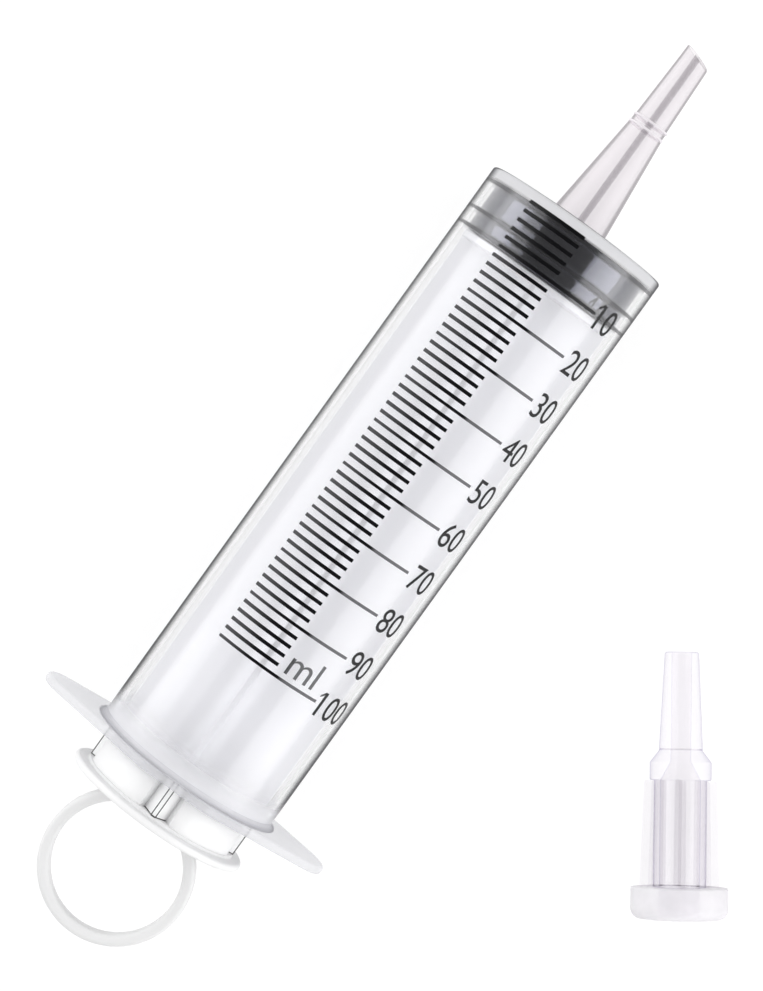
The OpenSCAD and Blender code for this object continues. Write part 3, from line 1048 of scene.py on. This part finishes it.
def makeRing(sizes):
    centreX = ringRearX + ringRadius
    middle = ringRadius - sizes["width"] / 2
    halfWidth, halfDepth, edge = sizes["width"] / 2, sizes["depth"] / 2, sizes["edge"]
    section = []
    for across, upwards, first in ((1, 1, 0), (-1, 1, 90), (-1, -1, 180), (1, -1, 270)):
        section += arc(across * (halfWidth - edge), upwards * (halfDepth - edge), edge, first, first + 90, 5)
    # the bar runs round from one side of the thumb plate to the other and ends just inside it
    endX = thumbRearX + sizes["sunk"]
    gap = math.acos((endX - centreX) / ringRadius) * sizes["gap_share"]
    points = []
    for i in range(sizes["steps"] + 1):
        angle = gap + (turn - 2 * gap) * i / sizes["steps"]
        for w, z in section:
            r = middle + w
            points.append((min(centreX + r * math.cos(angle), endX), r * math.sin(angle), z))
    faces = skin(len(section), sizes["steps"] + 1)
    obj = newPiece("pullRing", points, faces=faces, finish=ringPlastic)
    tidyMesh(obj)
    dress(obj, "plunger", "ring_plastic", "pull_ring")


makeRodHead(rodSizes)
makeRod(rodSizes)
makeThumbPlate(thumbSizes)
makeRing(ringSizes)
print("seal and plunger made")


# Printed scale: the lines are the CAD node, the numbers are wrapped round the barrel
scaleSizes = {
    "start": 42.3,  # degrees from the barrel's top to the left of the numbers
    "height": 5.15 * mm,
    "narrow": 0.92,
    "unit_start": 12.2,
    "unit_height": 5.2 * mm,
    "unit_rise": 1.35 * mm,  # the unit's foot stands this far in front of the last line
    "numbers": 10,
    "line": 0.6 * mm,
    "first_line": 0.72 * mm,
    "ink": 0.05 * mm,
    "cut": 0.5 * mm,
    "curve_steps": 6,
    "letter_gap": 0.0001,  # in the font's own units, before a letter gets its size
    # the flag of a leading 1, in shares of the number's height from the foot of its stroke
    "flag_shares": ((0, 1), (-0.2, 0.82), (-0.2, 0.72), (0, 0.87)),
}


def flatText(words, height, narrow, thickness):
    curve = bpy.data.curves.new("words", "FONT")
    curve.body = words
    curve.resolution_u = scaleSizes["curve_steps"]
    holder = bpy.data.objects.new("words", curve)
    bpy.context.scene.collection.objects.link(holder)
    settled = holder.evaluated_get(bpy.context.evaluated_depsgraph_get())
    mesh = bpy.data.meshes.new_from_object(settled)
    bpy.data.objects.remove(holder)
    shape = bmesh.new()
    shape.from_mesh(mesh)
    bpy.data.meshes.remove(mesh)
    bmesh.ops.remove_doubles(shape, verts=shape.verts, dist=scaleSizes["letter_gap"])
    tall = max(v.co.y for v in shape.verts) - min(v.co.y for v in shape.verts)
    left = min(v.co.x for v in shape.verts)
    low = min(v.co.y for v in shape.verts)
    for v in shape.verts:
        v.co = Vector(((v.co.x - left) * height / tall * narrow, (v.co.y - low) * height / tall, 0))
    if words.startswith("1"):
        shares = scaleSizes["flag_shares"]
        shape.faces.new([shape.verts.new((x * height * narrow, y * height, 0)) for x, y in shares])
    # cuts across the letters let them bend round the barrel
    wide = max(v.co.x for v in shape.verts)
    for i in range(0, int(wide / scaleSizes["cut"]) + 1):
        parts = shape.verts[:] + shape.edges[:] + shape.faces[:]
        bmesh.ops.bisect_plane(shape, geom=parts, plane_co=(i * scaleSizes["cut"], 0, 0), plane_no=(1, 0, 0))
    made = bmesh.ops.extrude_face_region(shape, geom=shape.faces[:])
    for part in made["geom"]:
        if isinstance(part, bmesh.types.BMVert):
            part.co.z += thickness
    return shape


def wrapWords(name, rows):
    whole = bmesh.new()
    for words, x, start, height, narrow in rows:
        shape = flatText(words, height, narrow, scaleSizes["ink"])
        for v in shape.verts:
            angle = math.radians(start) + v.co.x / barrelRadius
            reach = barrelRadius + v.co.z
            v.co = Vector((x + v.co.y, -reach * math.sin(angle), reach * math.cos(angle)))
        part = bpy.data.meshes.new("part")
        shape.to_mesh(part)
        shape.free()
        whole.from_mesh(part)
        bpy.data.meshes.remove(part)
    obj = newPiece(name, [], finish=ink)
    whole.to_mesh(obj.data)
    whole.free()
    tidyMesh(obj, sharp=30)
    dress(obj, "barrel", "scale_ink")


def makeNumbers(sizes):
    lastX = scaleRearX + sizes["line"] / 2
    firstX = scaleFrontX - sizes["first_line"] / 2
    step = (firstX - lastX) / sizes["numbers"]
    rows = []
    for k in range(1, sizes["numbers"] + 1):
        x = firstX - k * step - sizes["height"] / 2
        rows.append((str(10 * k), x, sizes["start"], sizes["height"], sizes["narrow"]))
    rows.append(("ml", lastX + sizes["unit_rise"], sizes["unit_start"], sizes["unit_height"], 1.0))
    wrapWords("scaleNumbers", rows)


makeNumbers(scaleSizes)
scaleLines = frame["nodes"]["scale_lines"]
scaleLines.data.materials.clear()
scaleLines.data.materials.append(ink)
print("scale made")


# Adapter: made along its own axis from the wide end, then laid where the CAD has it
adapterSizes = {
    "outlet_from_end": 42 * mm,
    "flange_radius": 9.55 * mm,
    "flange_length": 6.2 * mm,
    "flange_edge": 2 * mm,
    "flange_top_edge": 0.35 * mm,
    "body": 20.9 * mm,
    "core_radius": 5.2 * mm,
    "fins": 8,
    "fin": 1.3 * mm,
    "fin_low": 7.83 * mm,
    "fin_high": 7.15 * mm,
    "fin_corner": 0.4 * mm,
    "fin_edge": 0.25 * mm,
    "fin_sunk": 0.3 * mm,
    "collar_radius": 6.05 * mm,
    "collar": 3.7 * mm,
    "collar_edge": 0.3 * mm,
    "shoulder": 2.2 * mm,
    "tube": 19.3 * mm,
    "tube_foot": 4 * mm,
    "tube_end": 3.37 * mm,
    "tube_rim": 0.5 * mm,
    "bore": 2 * mm,
    "socket": 4 * mm,
    "chamfer": 0.5 * mm,
}


def adapterPlace(sizes):
    mount = mounts["adapter_outlet"]
    along = Vector(mount["axis"]).normalized()
    side = Vector((0, 0, 1)).cross(along).normalized()
    up = along.cross(side)
    end = Vector(mount["pos_m"]) - along * sizes["outlet_from_end"]
    return placed(end, along, side, up)


def makeAdapter(sizes):
    place = adapterPlace(sizes)
    bodyX = sizes["flange_length"]
    collarX = bodyX + sizes["body"]
    shoulderX = collarX + sizes["collar"]
    tubeX = shoulderX + sizes["shoulder"]
    endX = tubeX + sizes["tube"]
    edge, top = sizes["flange_edge"], sizes["flange_top_edge"]
    chamfer, socket = sizes["chamfer"], sizes["socket"]
    flangeOutline = [
        (0, socket + chamfer),
        *arc(edge, sizes["flange_radius"] - edge, edge, 180, 90, 8),
        *arc(bodyX - top, sizes["flange_radius"] - top, top, 90, 0, 4),
        (bodyX, socket),
        (chamfer, socket),
    ]
    rim = turned("adapterFlange", flangeOutline, adapterRimPlastic, segments=128)
    rim.data.transform(place)
    dress(rim, "adapter", "adapter_plastic", "adapter_flange")
    small, tubeRim = sizes["collar_edge"], sizes["tube_rim"]
    bodyOutline = [
        (bodyX, sizes["core_radius"]),
        (collarX, sizes["core_radius"]),
        *arc(collarX + small, sizes["collar_radius"] - small, small, 180, 90, 4),
        *arc(shoulderX - small, sizes["collar_radius"] - small, small, 90, 40, 4),
        *reversed(arc(tubeX + small, sizes["tube_foot"] + small, small, 180, 270, 3)),
        *arc(endX - tubeRim, sizes["tube_end"] - tubeRim, tubeRim, 90, 0, 5),
        (endX, sizes["bore"]),
        (shoulderX, sizes["bore"]),
        (collarX, socket),
        (bodyX, socket),
    ]
    body = turned("adapterBody", bodyOutline, adapterPlastic, segments=128)
    refinish(body, adapterBorePlastic, facesAxis)
    body.data.transform(place)
    dress(body, "adapter", "adapter_plastic", "adapter_body", "adapter_tube")
    # one fin, standing up along +Z, then eight of them round the body
    cut, half, soft = sizes["fin_corner"], sizes["fin"] / 2, sizes["fin_edge"]
    foot = sizes["core_radius"] - sizes["fin_sunk"]
    sections = []
    for y, inset in ((-half, soft), (-half + soft, 0), (half - soft, 0), (half, soft)):
        sections.append([
            (bodyX, y, foot),
            (bodyX, y, sizes["fin_low"] - inset),
            (collarX - cut, y, sizes["fin_high"] - inset),
            (collarX - inset, y, sizes["fin_high"] - cut),
            (collarX - inset, y, foot),
        ])
    faces = skin(len(sections[0]), len(sections))
    fins = newPiece("adapterFins", [p for s in sections for p in s], faces=faces)
    runTree(fins, roundArrayTree, Count=sizes["fins"], Finish=adapterFinPlastic)
    tidyMesh(fins)
    fins.data.transform(place)
    dress(fins, "adapter", "adapter_plastic", "adapter_body")


makeAdapter(adapterSizes)
print("adapter made")


# Studio: a pale floor, two long soft boxes beside the syringe and a quiet room
studio = {
    "floor_size": 6.0,
    "floor_colour": (0.6, 0.6, 0.6),
    "floor_shown": (0.22, 0.22, 0.22),
    "floor_lift": 0.82,
    "speck_scale": 3.0,
    "speck_share": 0.985,  # of the floor's colour, in its darkest specks
    "ceiling": 0.03,
    "ceiling_from": 0.75,  # heights on the room's sphere, 1 is straight up
    "walls_to": 0.25,
    "room_low": 0.35,
    "room_high": 0.95,
    "boxes": (
        # name, degrees from straight up (towards -Y is positive), distance, width, length, radiance
        ("rightBox", 64.0, 0.62, 0.54, 0.95, 1.85),
        ("leftBox", -74.0, 0.62, 0.35, 0.95, 1.8),
        ("leftStrip", -47.0, 0.62, 0.27, 0.95, 1.1),
    ),
}


def shownWhite(tree):
    # 1 for the rays that show the background itself, in the picture, in gloss and through the barrel
    path = newNode(tree, "ShaderNodeLightPath")
    seen = mathNode(tree, "MAXIMUM", path.outputs["Is Camera Ray"], path.outputs["Is Glossy Ray"])
    seen = mathNode(tree, "MAXIMUM", seen, path.outputs["Is Transmission Ray"])
    unlit = mathNode(tree, "LESS_THAN", path.outputs["Diffuse Depth"], 0.5)
    return mathNode(tree, "MULTIPLY", seen, unlit), path


def makeFloor(look):
    half = look["floor_size"] / 2
    corners = [(-half, -half, tableZ), (half, -half, tableZ), (half, half, tableZ), (-half, half, tableZ)]
    material, tree, output = newMaterial("studioFloor")
    paint = newNode(tree, "ShaderNodeBsdfDiffuse")
    speck = noise(tree, objectPlace(tree), look["speck_scale"])
    darker = tuple(c * look["speck_share"] for c in look["floor_colour"])
    shade = mixColours(tree, speck, look["floor_colour"], darker)
    seen, path = shownWhite(tree)
    join(mixColours(tree, seen, shade, look["floor_shown"]), paint.inputs["Color"])
    lift = newNode(tree, "ShaderNodeEmission")
    join(mathNode(tree, "MULTIPLY", seen, look["floor_lift"]), lift.inputs["Strength"])
    both = newNode(tree, "ShaderNodeAddShader")
    join(paint.outputs[0], both.inputs[0])
    join(lift.outputs[0], both.inputs[1])
    join(both.outputs[0], output.inputs["Surface"])
    floor = newPiece("studioFloor", corners, faces=[(0, 1, 2, 3)], finish=material)


def makeWorld(look):
    world = bpy.data.worlds.new("studioRoom")
    bpy.context.scene.world = world
    world.use_nodes = True
    tree = world.node_tree
    tree.nodes.clear()
    output = newNode(tree, "ShaderNodeOutputWorld")
    light = newNode(tree, "ShaderNodeBackground")
    light.inputs["Color"].default_value = (1, 1, 1, 1)
    seen, path = shownWhite(tree)
    # the ceiling over the camera is dark in reflections, the walls are white
    up = newNode(tree, "ShaderNodeSeparateXYZ")
    join(newNode(tree, "ShaderNodeTexCoord").outputs["Generated"], up.inputs[0])
    wall = newNode(tree, "ShaderNodeMapRange", interpolation_type="SMOOTHSTEP")
    setInputs(wall, {"From Min": look["ceiling_from"], "From Max": look["walls_to"]})
    setInputs(wall, {"To Min": look["ceiling"], "To Max": 1.0})
    join(up.outputs["Z"], wall.inputs["Value"])
    white = mathNode(tree, "MAXIMUM", path.outputs["Is Camera Ray"], wall.outputs["Result"])
    shown = mathNode(tree, "MULTIPLY", seen, white)
    # the light that falls on the object grows towards the ceiling
    room = newNode(tree, "ShaderNodeMapRange")
    setInputs(room, {"To Min": look["room_low"], "To Max": look["room_high"]})
    join(up.outputs["Z"], room.inputs["Value"])
    hidden = mathNode(tree, "MULTIPLY", mathNode(tree, "SUBTRACT", 1.0, seen), room.outputs["Result"])
    join(mathNode(tree, "ADD", shown, hidden), light.inputs["Strength"])
    join(light.outputs[0], output.inputs["Surface"])


def makeSoftBoxes(look):
    middleX = (flangeRearX + wallRearX) / 2
    for name, lean, away, width, length, radiance in look["boxes"]:
        angle = math.radians(lean)
        data = bpy.data.lights.new(name, "AREA")
        data.shape = "RECTANGLE"
        data.size = length
        data.size_y = width
        data.energy = radiance * math.pi * width * length
        box = bpy.data.objects.new(name, data)
        place = Vector((middleX, -away * math.sin(angle), away * math.cos(angle)))
        back = (place - Vector((middleX, 0, 0))).normalized()
        along = Vector((1, 0, 0))
        box.matrix_world = placed(place, along, back.cross(along), back)
        box.visible_camera = False
        bpy.context.scene.collection.objects.link(box)


makeFloor(studio)
makeWorld(studio)
makeSoftBoxes(studio)
bpy.context.scene.view_settings.view_transform = "Standard"
print("studio lit")
